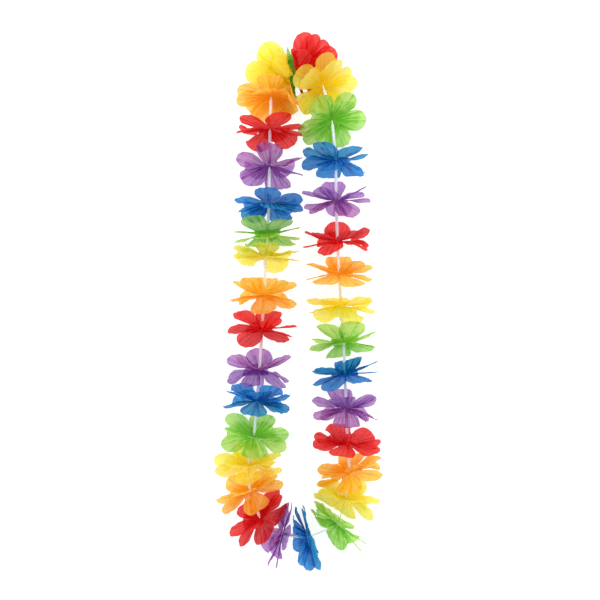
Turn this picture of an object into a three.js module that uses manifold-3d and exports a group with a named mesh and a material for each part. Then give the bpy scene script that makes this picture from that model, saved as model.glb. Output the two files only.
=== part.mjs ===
// A rainbow flower lei: thirty-three thin fabric blooms threaded on one tied cord, most of
// them kept apart by short clear plastic tubes. It lies flat on a surface, drawn out into
// the long narrow loop that it hangs in, with the top of the loop towards +Y.
//
// Each bloom is two die-cut layers of five petals on a shared middle. The petals leave the
// middle at their layer's opening angle, curl and twist a little along their length, and
// where one meets the surface or its neighbour's space it folds over and runs along it.
//
// Millimetres and degrees, +Z up, lowest points on z = 0.
import * as THREE from 'three';
import * as BufferGeometryUtils from 'three/addons/utils/BufferGeometryUtils.js';
import Module from 'manifold-3d';

const wasm = await Module();
wasm.setup();

// Driving dimensions
const CORD_HEIGHT = 24;
const CORD_RADIUS = 0.5;
const CORD_SIDES = 6;
const TUBE_RADIUS = 1.6;
const TUBE_BORE_RADIUS = 1.15;
const TUBE_SIDES = 8;
const BLADE_THICKNESS = 0.75;
const MIDDLE_RADIUS = 5.2;
const MIDDLE_HALF_THICKNESS = 0.8;
const MIDDLE_SPLIT_SHARE = 0.125;
const PETALS = 10;
const PETAL_STEP = 360 / PETALS;
const PETAL_LENGTH = 28;
// Half-widths of a petal at three stations, measured outwards from the middle's edge
const PETAL_STATIONS = [
  { along: 9, halfWidth: 8.8 },
  { along: 21, halfWidth: 12.6 },
  { along: PETAL_LENGTH, halfWidth: 7.4 },
];
const RUNNING_GAP = 0.3;
const NEIGHBOUR_GAP = 0.9;
const FOLD_RADIUS = 5;
const FOLD_LOOK_AHEAD = 8;
const STEEP_LEVEL = 0.35;
const LAY_FLAT_WITHIN = 0.35;
const CALM_WITHIN = 14;
const STACK_STEP = 1.2;
const STACK_RANKS = [0, 1, 0, 1, 2];
const STACKS_ABOVE = 0.2;
const CROWDED_WITHIN = 56;
const LEVEL_RISE = 20;
// A squeezed bloom's petal that meets a wall steeply gathers up shorter, down to this share
const GATHER_STEEPER = 0.5;
const GATHER_LEAST = 0.36;

// Spread of the seeded draws, in degrees
const SWAY = 3.5;
const LIFT = 6;
const CURL = 14;
const CURL_MEAN = 4;
const OWN_TWIST = 14;
const CUP = 12;
const FULL_TWIST_OPENING = 24;
// A petal at the side of its bloom opens less than one at the near or the far side
const SIDE_OPENING_SHARE = 0.4;
const SIDE_OPENING_POWER = 1.5;
// Turn of the upper layer's petals from the lower layer's, where a bloom has none of its own
const LAYER_TURN = 12;

const DYES = {
  green: 0x9ccf3a,
  yellow: 0xf2df2a,
  orange: 0xf79a1c,
  red: 0xcf1f26,
  purple: 0x8a4f9e,
  blue: 0x1f66ae,
};

// The blooms in threading order: middle's place, tilt of the near side towards the top of
// the loop, lean of the bloom's line, opening of the upper and of the lower layer, turn of
// the lower layer's petals about the bloom's own axis, turn of the upper layer from the
// lower one, and how much further the petals on the left and on the right are tilted.
// The seed picks a bloom's own draws, and of two crowded blooms the higher level is on top.
const BLOOMS = [
  { dye: 'green', x: -8, y: 222, z: 13, tilt: 6, lean: -78, up: 12, down: 8, turn: 24, offset: 0, border: 0.42, seed: 2, squeezed: true },
  { dye: 'yellow', x: -18.5, y: 228, z: 28, tilt: 58, lean: -30, up: 14, down: 16, turn: 66, offset: 6, seed: 1, squeezed: true },
  { dye: 'orange', x: -27.5, y: 205, level: 2, tilt: 30, lean: -2, up: 8, down: 22, turn: 36, offset: -18, left: 6, seed: 1, squeezed: true },
  { dye: 'red', x: -28.5, y: 173, tilt: 14, lean: 0, up: 16, down: 22, turn: 22, offset: -24, left: -10 },
  { dye: 'purple', x: -29, y: 135, tilt: 20, lean: 0, up: 27, down: 32, turn: 6, left: 10, right: -20 },
  { dye: 'blue', x: -29.5, y: 98, tilt: 14, lean: 0, up: 13, down: 25, turn: 9, left: 4, right: 12 },
  { dye: 'green', x: -31, y: 68, tilt: 10, lean: 3, up: 26, down: 30, turn: 27, offset: 27, left: -10, right: -10, seed: 3 },
  { dye: 'yellow', x: -32.5, y: 45, tilt: 5, lean: -5, up: 26, down: 4, turn: 6, left: 18, right: -3, seed: 10 },
  { dye: 'orange', x: -34.5, y: 7, tilt: -6, lean: 0, up: 40, down: 32, turn: 19, offset: 35, right: -12, seed: 5 },
  { dye: 'red', x: -36.5, y: -27, tilt: -10, lean: -6, up: 34, down: 24, turn: 46, offset: 24, left: -16, right: 10, seed: 3 },
  { dye: 'purple', x: -39, y: -68, tilt: -8, lean: 0, up: 32, down: 36, turn: 42, offset: 12, left: -16, right: -4, seed: 35 },
  { dye: 'blue', x: -41.5, y: -99, tilt: -6, lean: -4, up: 24, down: 24, turn: 25, offset: -11, left: 6, right: -8 },
  { dye: 'green', x: -44.5, y: -133, tilt: -28, lean: -10, up: 20, down: 28, turn: 8, offset: -11 },
  { dye: 'yellow', x: -50, y: -162, tilt: -18, lean: 0, up: 16, down: 26, turn: 18, offset: 30, left: -14, right: 10 },
  { dye: 'orange', x: -48.5, y: -189, tilt: -14, lean: 26, up: 22, down: 24, turn: 20, left: -8, right: -8 },
  { dye: 'red', x: -38.5, y: -216, tilt: -22, lean: 42, up: 24, down: 26, turn: 36 },
  { dye: 'purple', x: -16.5, y: -232, tilt: -3, lean: 75, up: 20, down: 8, turn: 18, offset: 8, border: 0.38, seed: 8 },
  { dye: 'blue', x: 9, y: -235.5, tilt: 0, lean: 104, up: 36, down: 12, turn: 42, offset: 12, left: -22, seed: 7 },
  { dye: 'green', x: 39.5, y: -223, tilt: 8, lean: -41, up: 10, down: 30, turn: 6, left: 14, right: -8 },
  { dye: 'yellow', x: 47, y: -196, tilt: -20, lean: -18, up: 22, down: 30, turn: 10, offset: -18, left: -12, right: 8 },
  { dye: 'orange', x: 51.5, y: -170, tilt: -14, lean: 18, up: 27, down: 22, turn: 34, offset: 35, left: 6, right: 2, seed: 1 },
  { dye: 'red', x: 49, y: -142, tilt: -6, lean: -5, up: 22, down: 18, turn: 28, offset: -4, left: -20, right: -20 },
  { dye: 'purple', x: 47.5, y: -106, tilt: -8, lean: -3, up: 34, down: 38, turn: 13, offset: 21, left: -8, right: 6 },
  { dye: 'blue', x: 46.5, y: -72, tilt: -8, lean: 10, up: 27, down: 20, turn: 54, left: -8, right: 4, seed: 10 },
  { dye: 'green', x: 45, y: -40, tilt: 12, lean: 4, up: 34, down: 25, turn: 38, offset: 24, left: 6 },
  { dye: 'yellow', x: 42.5, y: -4, tilt: 4, lean: -3, up: 16, down: 25, turn: 10, offset: 24, left: 10, right: 4, seed: 6 },
  { dye: 'orange', x: 40.5, y: 28, tilt: -8, lean: -2, up: 32, down: 20, turn: 54, offset: 0, left: 4, right: -10 },
  { dye: 'red', x: 39, y: 61, tilt: -5, lean: 3, up: 26, down: 20, turn: 36, offset: 18, left: 5, right: 28 },
  { dye: 'purple', x: 37.5, y: 102, tilt: -9, lean: 4, up: 28, down: 28, turn: 62, offset: -16, left: 24, right: 14 },
  { dye: 'blue', x: 37.5, y: 142, tilt: 5, lean: -3, up: 26, down: 38, turn: 34, offset: 14, left: 22, right: 8, seed: 2 },
  { dye: 'green', x: 33.5, y: 181, level: 3, tilt: 40, lean: 26, up: 15, down: 16, turn: 47, offset: -19, seed: 2 },
  { dye: 'yellow', x: 24.5, y: 216, z: 28, level: 3, tilt: 46, lean: 38, up: 18, down: 16, turn: 39, offset: 6, left: -40, right: -22 },
  { dye: 'red', x: 8, y: 236, z: 27, tilt: 45, lean: 60, up: 12, down: 12, turn: 30, offset: 10, border: 0.6, seed: 1, squeezed: true },
];

// The blooms that sit right against the next one, with no tube on the cord between them
const NO_TUBE_AFTER = [0, 1, 15, 17, 18, 31, 32];

// The knot that closes the cord, half-way from the last yellow bloom to the last red one
const KNOT_AFTER = 31;
const KNOT_RADIUS = 1.3;
const KNOT_LENGTH_RATIO = 1.5;
const TAIL_LENGTH = 9;
const TAIL_SPREAD = 22;

const UP = new THREE.Vector3(0, 0, 1);
const rad = THREE.MathUtils.degToRad;

// A repeatable draw between -1 and 1 for one petal and one purpose
function draw(bloomIndex, petalIndex, purpose) {
  const place = (bloomIndex + BLOOMS.length * (BLOOMS[bloomIndex].seed ?? 0)) * PETALS + petalIndex + 1;
  const value = Math.sin(place * 12.9898 + purpose * 78.233) * 43758.5453;
  return 2 * (value - Math.floor(value)) - 1;
}

function at(index) {
  return (index + BLOOMS.length) % BLOOMS.length;
}

function hubOf(index) {
  const bloom = BLOOMS[at(index)];
  return new THREE.Vector3(bloom.x, bloom.y, bloom.z ?? CORD_HEIGHT);
}

// Unit vector along the cord from one bloom to the next
function cordDirection(index) {
  return hubOf(index + 1).sub(hubOf(index)).normalize();
}

// The bloom's own axes: across the loop, towards the near side, and along its axis, which
// points away from the top of the loop
function axesOf(index) {
  const bloom = BLOOMS[at(index)];
  const along = new THREE.Vector3(-Math.sin(rad(bloom.lean)), Math.cos(rad(bloom.lean)), 0);
  const across = new THREE.Vector3(Math.cos(rad(bloom.lean)), Math.sin(rad(bloom.lean)), 0);
  const near = UP.clone().multiplyScalar(Math.cos(rad(bloom.tilt)));
  near.addScaledVector(along, Math.sin(rad(bloom.tilt)));
  return { across, near, axis: across.clone().cross(near) };
}

// The axis turned, if need be, to point on round the cord
function forwardAxis(index) {
  const { axis } = axesOf(index);
  const travel = cordDirection(index).add(cordDirection(index - 1));
  return axis.dot(travel) < 0 ? axis.negate() : axis;
}

// The plane between a bloom and the next, square to the mean of their axes. It stands
// half-way unless the bloom's border says otherwise.
function planeAfter(index) {
  const point = hubOf(index).lerp(hubOf(index + 1), BLOOMS[at(index)].border ?? 0.5);
  return { point, normal: forwardAxis(index).add(forwardAxis(index + 1)).normalize() };
}

// The plane between two blooms that are near each other but not next on the cord. It
// leans so that the bloom with the higher level passes over the other.
function planeAcross(index, other) {
  const point = hubOf(index).add(hubOf(other)).multiplyScalar(0.5);
  const normal = hubOf(index).sub(hubOf(other)).setZ(0).normalize();
  const rise = rad(LEVEL_RISE * ((BLOOMS[index].level ?? 0) - (BLOOMS[other].level ?? 0)));
  normal.multiplyScalar(Math.cos(rise)).addScaledVector(UP, Math.sin(rise));
  return { point, normal };
}

// Turn of a bloom's upper layer from its lower layer
function layerTurn(index) {
  return BLOOMS[index].offset ?? LAYER_TURN;
}

// Direction of a petal about its bloom's axis. Even petals belong to the lower layer, odd
// ones to the upper layer.
function petalTurn(index, petal) {
  const upper = petal % 2;
  return BLOOMS[index].turn + (petal - upper) * PETAL_STEP + upper * layerTurn(index);
}

// The half-spaces that a bloom's petals stay in: above the surface, between its neighbours
function roomOf(index) {
  const before = planeAfter(index - 1);
  const after = planeAfter(index);
  const clear = (BLADE_THICKNESS + NEIGHBOUR_GAP) / 2;
  const room = [
    { point: new THREE.Vector3(), normal: UP, clear: BLADE_THICKNESS / 2 },
    { point: before.point, normal: before.normal, clear },
    { point: after.point, normal: after.normal.negate(), clear },
  ];
  BLOOMS.forEach((_, other) => {
    const steps = Math.abs(index - other);
    const apart = Math.min(steps, BLOOMS.length - steps);
    if (apart < 2 || hubOf(index).distanceTo(hubOf(other)) > CROWDED_WITHIN) return;
    room.push({ ...planeAcross(index, other), clear });
  });
  return room;
}

// The room of one petal: where petals of a bloom press against the same wall they stack,
// the layer that faces the wall nearest to it
function stackedRoom(room, axis, side, petal) {
  return room.map((wall, index) => {
    const facing = side * axis.dot(wall.normal);
    const behind = facing > STACKS_ABOVE ? STACK_STEP : 0;
    const rank = index === 0 ? 0 : STACK_RANKS[Math.floor(petal / 2)] * STACK_STEP;
    return { ...wall, clear: wall.clear + behind + rank };
  });
}

function depthInside(wall, point) {
  return point.clone().sub(wall.point).dot(wall.normal) - wall.clear;
}

function halfWidthAt(along) {
  let before = { along: 0, halfWidth: MIDDLE_RADIUS * Math.sin(rad(PETAL_STEP)) };
  for (const station of PETAL_STATIONS) {
    if (along <= station.along) {
      const part = (along - before.along) / (station.along - before.along);
      return before.halfWidth + part * (station.halfWidth - before.halfWidth);
    }
    before = station;
  }
  return before.halfWidth;
}

// Which way round a steep petal folds: the way that keeps it deepest inside its room
function foldSense(wall, point, frame, hinge, turn, room) {
  const depthAfter = [1, -1].map((sense) => {
    const ahead = frame.outward.clone().applyAxisAngle(hinge, sense * turn).multiplyScalar(FOLD_LOOK_AHEAD).add(point);
    return Math.min(...room.filter((each) => each !== wall).map((each) => depthInside(each, ahead)));
  });
  return depthAfter[1] > depthAfter[0] ? -1 : 1;
}

// Turns a petal's frame towards level with a wall, as far as its depth there asks. Once it
// has started to fold one way, it keeps to it.
function foldAlong(wall, point, frame, halfWidth, room) {
  const depth = Math.max(0, depthInside(wall, point));
  const face = frame.outward.clone().cross(frame.sideways);
  const level = THREE.MathUtils.clamp(face.dot(wall.normal), -1, 1);
  const slope = Math.sqrt(1 - level * level);
  if (slope < 1e-6) return;
  const steepest = Math.sin(Math.acos(1 - Math.min(1, depth / FOLD_RADIUS)));
  const descent = -frame.outward.dot(wall.normal);
  const sidewaysDrop = Math.abs(frame.sideways.dot(wall.normal)) * halfWidth;
  let share = 1;
  if (descent > steepest) share = Math.min(share, steepest / descent);
  if (sidewaysDrop > depth) share = Math.min(share, depth / sidewaysDrop);
  if (share === 1) return;
  const steepness = Math.asin(slope);
  const gentle = Math.asin(slope * share);
  const hinge = face.cross(wall.normal).multiplyScalar(level < 0 ? -1 : 1).normalize();
  let turn = steepness - gentle;
  if (Math.abs(level) < STEEP_LEVEL && !frame.folded.has(wall)) {
    if (foldSense(wall, point, frame, hinge, Math.PI / 2, room) < 0) turn = -(Math.PI - steepness - gentle);
  }
  frame.folded.add(wall);
  frame.outward.applyAxisAngle(hinge, turn);
  frame.sideways.applyAxisAngle(hinge, turn);
}

// The share of its length that a squeezed bloom's petal keeps in front of one wall
function gatherOf(wall, point, outward) {
  const descent = -outward.dot(wall.normal);
  if (descent < GATHER_STEEPER) return 1;
  return THREE.MathUtils.clamp(depthInside(wall, point) / (descent * PETAL_LENGTH), GATHER_LEAST, 1);
}

// Follows one petal outwards in short steps and returns its stations' three points each
function growPetal(index, petal, bloomRoom) {
  const bloom = BLOOMS[index];
  const { across, near, axis } = axesOf(index);
  const side = petal % 2 === 0 ? 1 : -1;
  const room = stackedRoom(bloomRoom, axis, side, petal);
  const opening = side > 0 ? bloom.down : bloom.up;
  const angle = rad(petalTurn(index, petal));
  const facing = Math.abs(Math.sin(angle)) ** SIDE_OPENING_POWER;
  const open = opening * (SIDE_OPENING_SHARE + (1 - SIDE_OPENING_SHARE) * facing);
  const freedom = Math.min(1, open / FULL_TWIST_OPENING);
  const radial = across.clone().multiplyScalar(Math.cos(angle)).addScaledVector(near, Math.sin(angle));
  const point = hubOf(index).addScaledVector(radial, MIDDLE_RADIUS);
  point.addScaledVector(axis, side * MIDDLE_HALF_THICKNESS / 2);

  const lift = side * rad(open + LIFT * freedom * draw(index, petal, 1));
  radial.applyAxisAngle(axis, rad(SWAY * draw(index, petal, 2)));
  const sideways = axis.clone().cross(radial);
  const outward = radial.multiplyScalar(Math.cos(lift)).addScaledVector(axis, Math.sin(lift));
  const frame = { outward, sideways, folded: new Set() };
  const curl = side * rad(freedom * (CURL_MEAN + CURL * draw(index, petal, 3))) / PETAL_LENGTH;
  const sided = Math.cos(angle);
  const roll = (sided > 0 ? -(bloom.right ?? 0) : bloom.left ?? 0) * sided ** 2;
  const twist = rad(roll + freedom * OWN_TWIST * draw(index, petal, 4)) / PETAL_STATIONS[1].along;
  const cup = rad(freedom * CUP * draw(index, petal, 5));

  const shares = room.map((wall) => (bloom.squeezed ? gatherOf(wall, point, frame.outward) : 1));
  const gather = Math.min(...shares);
  const folding = room.filter((_, wall) => shares[wall] === 1);

  const stations = [];
  for (let along = 1; along <= PETAL_LENGTH; along += 1) {
    const lying = depthInside(room[0], point) < LAY_FLAT_WITHIN;
    const calm = THREE.MathUtils.clamp(depthInside(room[0], point) / CALM_WITHIN, 0, 1);
    frame.outward.applyAxisAngle(frame.sideways, -curl * calm);
    if (along <= PETAL_STATIONS[1].along) frame.sideways.applyAxisAngle(frame.outward, twist * calm);
    for (const wall of folding) foldAlong(wall, point, frame, gather * halfWidthAt(along), room);
    point.addScaledVector(frame.outward, gather);
    const station = PETAL_STATIONS.find((each) => each.along === along);
    if (!station) continue;
    const face = frame.outward.clone().cross(frame.sideways);
    const halfWidth = station.halfWidth * Math.sqrt(gather);
    const raised = lying ? 0 : halfWidth * Math.sin(cup * calm);
    const reach = lying ? halfWidth : halfWidth * Math.cos(cup * calm);
    stations.push([
      point.clone().addScaledVector(frame.sideways, -reach).addScaledVector(face, raised),
      point.clone(),
      point.clone().addScaledVector(frame.sideways, reach).addScaledVector(face, raised),
    ]);
  }
  stations[stations.length - 1].splice(1, 1);
  for (const station of stations) for (const corner of station) pushInside(room, corner);
  return stations;
}

function pushInside(room, corner) {
  for (let pass = 0; pass < 3; pass += 1) {
    for (const wall of [...room].reverse()) {
      const depth = depthInside(wall, corner);
      if (depth < 0) corner.addScaledVector(wall.normal, -depth);
    }
  }
}

// The triangles of one petal over its rows of points, alike on both faces
function petalFaces(rows) {
  const faces = [];
  for (let row = 0; row + 1 < rows.length; row += 1) {
    const inner = rows[row];
    const outer = rows[row + 1];
    if (outer.length === 3) {
      faces.push([inner[0], outer[0], inner[1]], [outer[0], outer[1], inner[1]]);
      faces.push([inner[1], outer[1], outer[2]], [inner[1], outer[2], inner[2]]);
    } else {
      faces.push([inner[0], outer[0], inner[1]], [outer[0], outer[1], inner[1]]);
      faces.push([inner[1], outer[1], inner[2]]);
    }
  }
  return faces;
}

// Steepest angle between a bloom's axis and the cord on either side of it
function slantOf(index) {
  const { axis } = axesOf(index);
  const before = Math.abs(axis.dot(cordDirection(index - 1)));
  const after = Math.abs(axis.dot(cordDirection(index)));
  return Math.acos(Math.min(1, before, after));
}

function meshFrom(name, positions, triangles, material) {
  const geometry = new THREE.BufferGeometry();
  geometry.setAttribute('position', new THREE.Float32BufferAttribute(positions.flatMap((p) => [p.x, p.y, p.z]), 3));
  geometry.setIndex(triangles.flat());
  geometry.computeVertexNormals();
  const mesh = new THREE.Mesh(geometry, material);
  mesh.name = name;
  return mesh;
}

function makeBloom(index) {
  const bloom = BLOOMS[index];
  const { across, near, axis } = axesOf(index);
  const hub = hubOf(index);
  const room = roomOf(index);
  const positions = [];
  const triangles = [];
  const add = (point) => positions.push(point) - 1;

  // Middle: a ring of ten corners on two levels for each layer round a five-sided hole.
  // The upper layer's ring is turned with its petals, and a low band joins the two rings.
  const polar = (radius, angle, level) => hub.clone()
    .addScaledVector(across, radius * Math.cos(rad(bloom.turn + angle)))
    .addScaledVector(near, radius * Math.sin(rad(bloom.turn + angle)))
    .addScaledVector(axis, level * MIDDLE_HALF_THICKNESS);
  const upperTurn = layerTurn(index) - PETAL_STEP;
  const ring = [-1, -MIDDLE_SPLIT_SHARE, MIDDLE_SPLIT_SHARE, 1].map((level) => {
    const turn = level < 0 ? upperTurn : 0;
    return Array.from({ length: PETALS }, (_, step) => add(polar(MIDDLE_RADIUS, turn + step * PETAL_STEP, level)));
  });
  const ahead = PETALS + Math.ceil(-upperTurn / PETAL_STEP);
  const slant = slantOf(index);
  const reach = (CORD_RADIUS + MIDDLE_HALF_THICKNESS * Math.sin(slant)) / Math.cos(slant) + RUNNING_GAP;
  const holeRadius = reach / Math.cos(rad(PETAL_STEP));
  const [holeLow, holeHigh] = [-1, 1].map((level) => {
    return Array.from({ length: 5 }, (_, step) => add(polar(holeRadius, step * 2 * PETAL_STEP, level)));
  });
  for (let step = 0; step < PETALS; step += 1) {
    const next = (step + 1) % PETALS;
    const facing = (step + ahead) % PETALS;
    const facingNext = (facing + 1) % PETALS;
    triangles.push([ring[1][facing], ring[1][facingNext], ring[2][next]]);
    triangles.push([ring[1][facing], ring[2][next], ring[2][step]]);
  }
  for (let step = 0; step < 5; step += 1) {
    const next = (step + 1) % 5;
    const mid = step * 2;
    const previousCorner = (mid + PETALS - 1) % PETALS;
    const nextCorner = mid + 1;
    const top = [
      [ring[3][previousCorner], ring[3][mid], holeHigh[step]],
      [ring[3][mid], ring[3][nextCorner], holeHigh[step]],
      [holeHigh[step], ring[3][nextCorner], holeHigh[next]],
    ];
    const [before, here, after] = [previousCorner, mid, nextCorner].map((corner) => ring[0][(corner + ahead) % PETALS]);
    const bottom = [
      [here, before, holeLow[step]],
      [after, here, holeLow[step]],
      [after, holeLow[step], holeLow[next]],
    ];
    const wall = [
      [holeHigh[step], holeHigh[next], holeLow[next]],
      [holeHigh[step], holeLow[next], holeLow[step]],
    ];
    triangles.push(...top, ...bottom, ...wall);
  }

  // Petals, each from its own layer's ring
  for (let petal = 0; petal < PETALS; petal += 1) {
    const stations = growPetal(index, petal, room);
    const steps = [petal + PETALS - 1, petal, petal + 1].map((step) => step % PETALS);
    const topLevel = petal % 2 === 0 ? 3 : 1;
    const root = steps.map((step) => positions[ring[topLevel][step]].clone().add(positions[ring[topLevel - 1][step]])
      .multiplyScalar(0.5));
    const middle = [root, ...stations];
    let count = 0;
    const numbered = middle.map((row) => row.map(() => count++));
    const flat = middle.flat();
    const faces = petalFaces(numbered);
    const normals = flat.map(() => new THREE.Vector3());
    for (const [a, b, c] of faces) {
      const normal = flat[b].clone().sub(flat[a]).cross(flat[c].clone().sub(flat[a]));
      for (const corner of [a, b, c]) normals[corner].add(normal);
    }
    const high = [];
    const low = [];
    const lying = flat.map((point) => depthInside(room[0], point) < LAY_FLAT_WITHIN);
    const upwards = normals.reduce((sum, normal, corner) => sum + (lying[corner] ? normal.z : 0), 0) < 0 ? -1 : 1;
    flat.forEach((point, corner) => {
      if (corner < 3) {
        high.push(ring[topLevel][steps[corner]]);
        low.push(ring[topLevel - 1][steps[corner]]);
        return;
      }
      const offset = normals[corner].normalize().multiplyScalar(BLADE_THICKNESS / 2);
      if (lying[corner]) {
        point.z = BLADE_THICKNESS / 2;
        offset.set(0, 0, upwards * BLADE_THICKNESS / 2);
      }
      high.push(add(point.clone().add(offset)));
      low.push(add(point.clone().sub(offset)));
    });
    for (const [a, b, c] of faces) {
      triangles.push([high[a], high[b], high[c]], [low[a], low[c], low[b]]);
    }
    const last = numbered[numbered.length - 1];
    const outline = [...numbered.slice(0, -1).map((row) => row[0]), ...last];
    outline.push(...numbered.slice(0, -1).reverse().map((row) => row[2]));
    for (let edge = 0; edge + 1 < outline.length; edge += 1) {
      const a = outline[edge];
      const b = outline[edge + 1];
      triangles.push([low[a], low[b], high[b]], [low[a], high[b], high[a]]);
    }
  }

  const material = new THREE.MeshStandardMaterial({ color: DYES[bloom.dye], roughness: 0.75, metalness: 0 });
  const number = String(index + 1).padStart(2, '0');
  return meshFrom(`bloom_${number}_${bloom.dye}`, positions, triangles, material);
}

// How far along the cord a tube stays from a bloom's middle, on the given side
function tubeClearance(index, direction) {
  const slant = Math.acos(Math.min(1, Math.abs(axesOf(index).axis.dot(direction))));
  return TUBE_RADIUS * Math.tan(slant) + MIDDLE_HALF_THICKNESS / Math.cos(slant) + RUNNING_GAP;
}

function makeTube(index) {
  const direction = cordDirection(index);
  const start = tubeClearance(index, direction);
  const next = (index + 1) % BLOOMS.length;
  const end = hubOf(index).distanceTo(hubOf(index + 1)) - tubeClearance(next, direction);
  const profile = [
    new THREE.Vector2(TUBE_BORE_RADIUS, start),
    new THREE.Vector2(TUBE_RADIUS, start),
    new THREE.Vector2(TUBE_RADIUS, end),
    new THREE.Vector2(TUBE_BORE_RADIUS, end),
    new THREE.Vector2(TUBE_BORE_RADIUS, start),
  ];
  const geometry = new THREE.LatheGeometry(profile, TUBE_SIDES);
  const material = new THREE.MeshStandardMaterial({ color: 0xe9eef0, roughness: 0.2, metalness: 0 });
  const tube = new THREE.Mesh(geometry, material);
  tube.name = `tube_${String(index + 1).padStart(2, '0')}_${String(next + 1).padStart(2, '0')}`;
  tube.position.copy(hubOf(index));
  tube.quaternion.setFromUnitVectors(new THREE.Vector3(0, 1, 0), direction);
  return tube;
}

function solidFrom(geometry) {
  const bare = geometry.clone();
  bare.deleteAttribute('normal');
  bare.deleteAttribute('uv');
  const merged = BufferGeometryUtils.mergeVertices(bare, 1e-4);
  return new wasm.Manifold(new wasm.Mesh({
    numProp: 3,
    vertProperties: new Float32Array(merged.attributes.position.array),
    triVerts: new Uint32Array(merged.index.array),
  }));
}

// The loop of cord, mitred at every bloom
function cordLoopGeometry() {
  const positions = [];
  const triangles = [];
  BLOOMS.forEach((_, index) => {
    const before = cordDirection(index - 1);
    const after = cordDirection(index);
    const tangent = before.clone().add(after).normalize();
    const sideways = tangent.clone().cross(UP).normalize();
    const mitre = 1 / tangent.dot(after);
    for (let side = 0; side < CORD_SIDES; side += 1) {
      const angle = (side / CORD_SIDES) * 2 * Math.PI;
      const corner = hubOf(index);
      corner.addScaledVector(sideways, CORD_RADIUS * mitre * Math.cos(angle));
      corner.addScaledVector(UP, CORD_RADIUS * Math.sin(angle));
      positions.push(corner.x, corner.y, corner.z);
    }
    const here = index * CORD_SIDES;
    const there = ((index + 1) % BLOOMS.length) * CORD_SIDES;
    for (let side = 0; side < CORD_SIDES; side += 1) {
      const nextSide = (side + 1) % CORD_SIDES;
      triangles.push(here + side, there + side, there + nextSide);
      triangles.push(here + side, there + nextSide, here + nextSide);
    }
  });
  const geometry = new THREE.BufferGeometry();
  geometry.setAttribute('position', new THREE.Float32BufferAttribute(positions, 3));
  geometry.setIndex(triangles);
  return geometry;
}

// The cord's knot, a small oval lump with two cut tails that hang between the two blooms
function knotSolids() {
  const direction = cordDirection(KNOT_AFTER);
  const { point: centre, normal } = planeAfter(KNOT_AFTER);
  const hanging = UP.clone().negate().projectOnPlane(normal).normalize();
  const lump = new THREE.IcosahedronGeometry(KNOT_RADIUS, 1);
  lump.scale(1, KNOT_LENGTH_RATIO, 1);
  lump.applyQuaternion(new THREE.Quaternion().setFromUnitVectors(new THREE.Vector3(0, 1, 0), direction));
  lump.translate(centre.x, centre.y, centre.z);
  const tails = [-1, 1].map((sign) => {
    const tail = new THREE.CylinderGeometry(CORD_RADIUS, CORD_RADIUS, TAIL_LENGTH, CORD_SIDES);
    tail.translate(0, -TAIL_LENGTH / 2, 0);
    const slope = hanging.clone().applyAxisAngle(normal, rad(sign * TAIL_SPREAD));
    tail.applyQuaternion(new THREE.Quaternion().setFromUnitVectors(new THREE.Vector3(0, -1, 0), slope));
    tail.translate(centre.x, centre.y, centre.z);
    return tail;
  });
  return [lump, ...tails].map(solidFrom);
}

function makeCord() {
  let solid = solidFrom(cordLoopGeometry());
  for (const piece of knotSolids()) solid = solid.add(piece);
  const result = solid.getMesh();
  const geometry = new THREE.BufferGeometry();
  geometry.setAttribute('position', new THREE.BufferAttribute(result.vertProperties, 3));
  geometry.setIndex(new THREE.BufferAttribute(result.triVerts, 1));
  geometry.computeVertexNormals();
  const cord = new THREE.Mesh(
    geometry,
    new THREE.MeshStandardMaterial({ color: 0xf4f2ee, roughness: 0.8, metalness: 0 }),
  );
  cord.name = 'cord_loop';
  return cord;
}

const lei = new THREE.Group();
BLOOMS.forEach((_, index) => lei.add(makeBloom(index)));
BLOOMS.forEach((_, index) => {
  if (!NO_TUBE_AFTER.includes(index)) lei.add(makeTube(index));
});
lei.add(makeCord());

// The origin is under the middle of the whole lei
const box = new THREE.Box3().setFromObject(lei, true);
const middle = box.getCenter(new THREE.Vector3());
lei.position.set(-middle.x, -middle.y, 0);

export default lei;
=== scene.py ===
"""A rainbow flower lei of thin pleated fabric blooms, laid out flat as a long narrow loop.

Thirty-three blooms of two die-cut fabric layers each are threaded on one tied white cord,
most of them kept apart by short clear plastic tubes. Lengths are in millimetres inside the
classes and are turned into metres where a mesh is made.
"""

import logging
from dataclasses import dataclass, field
from enum import Enum, IntEnum
from functools import cached_property
from math import acos, asin, cos, pi, radians, sin, sqrt, tan

import bmesh
import bpy
import numpy as np
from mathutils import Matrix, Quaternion, Vector


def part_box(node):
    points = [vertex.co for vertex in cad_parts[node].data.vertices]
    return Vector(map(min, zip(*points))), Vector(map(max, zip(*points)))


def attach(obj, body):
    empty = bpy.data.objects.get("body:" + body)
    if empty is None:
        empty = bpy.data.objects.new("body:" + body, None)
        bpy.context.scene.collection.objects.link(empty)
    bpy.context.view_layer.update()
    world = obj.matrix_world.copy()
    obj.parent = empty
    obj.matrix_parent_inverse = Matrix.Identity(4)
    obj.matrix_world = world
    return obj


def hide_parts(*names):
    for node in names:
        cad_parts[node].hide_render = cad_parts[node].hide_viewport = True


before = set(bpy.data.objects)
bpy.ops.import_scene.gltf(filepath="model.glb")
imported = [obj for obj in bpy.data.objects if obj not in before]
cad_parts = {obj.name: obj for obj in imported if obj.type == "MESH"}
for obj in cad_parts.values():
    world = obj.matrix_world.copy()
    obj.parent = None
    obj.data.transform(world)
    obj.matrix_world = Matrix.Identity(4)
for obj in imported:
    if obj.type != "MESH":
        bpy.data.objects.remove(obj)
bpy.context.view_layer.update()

LOG = logging.getLogger("lei")
METRES = 0.001
UP = Vector((0.0, 0.0, 1.0))
BODY = "root"
WHITE = (1.0, 1.0, 1.0, 1.0)

# The loop's cord and tubes, as the frame has them
CORD_HEIGHT = 24.0
CORD_RADIUS = 0.5
TUBE_RADIUS = 1.6
TUBE_BORE_RADIUS = 1.15
RUNNING_GAP = 0.3
NO_TUBE_AFTER = (0, 1, 15, 17, 18, 31, 32)
KNOT_AFTER = 31

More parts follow.
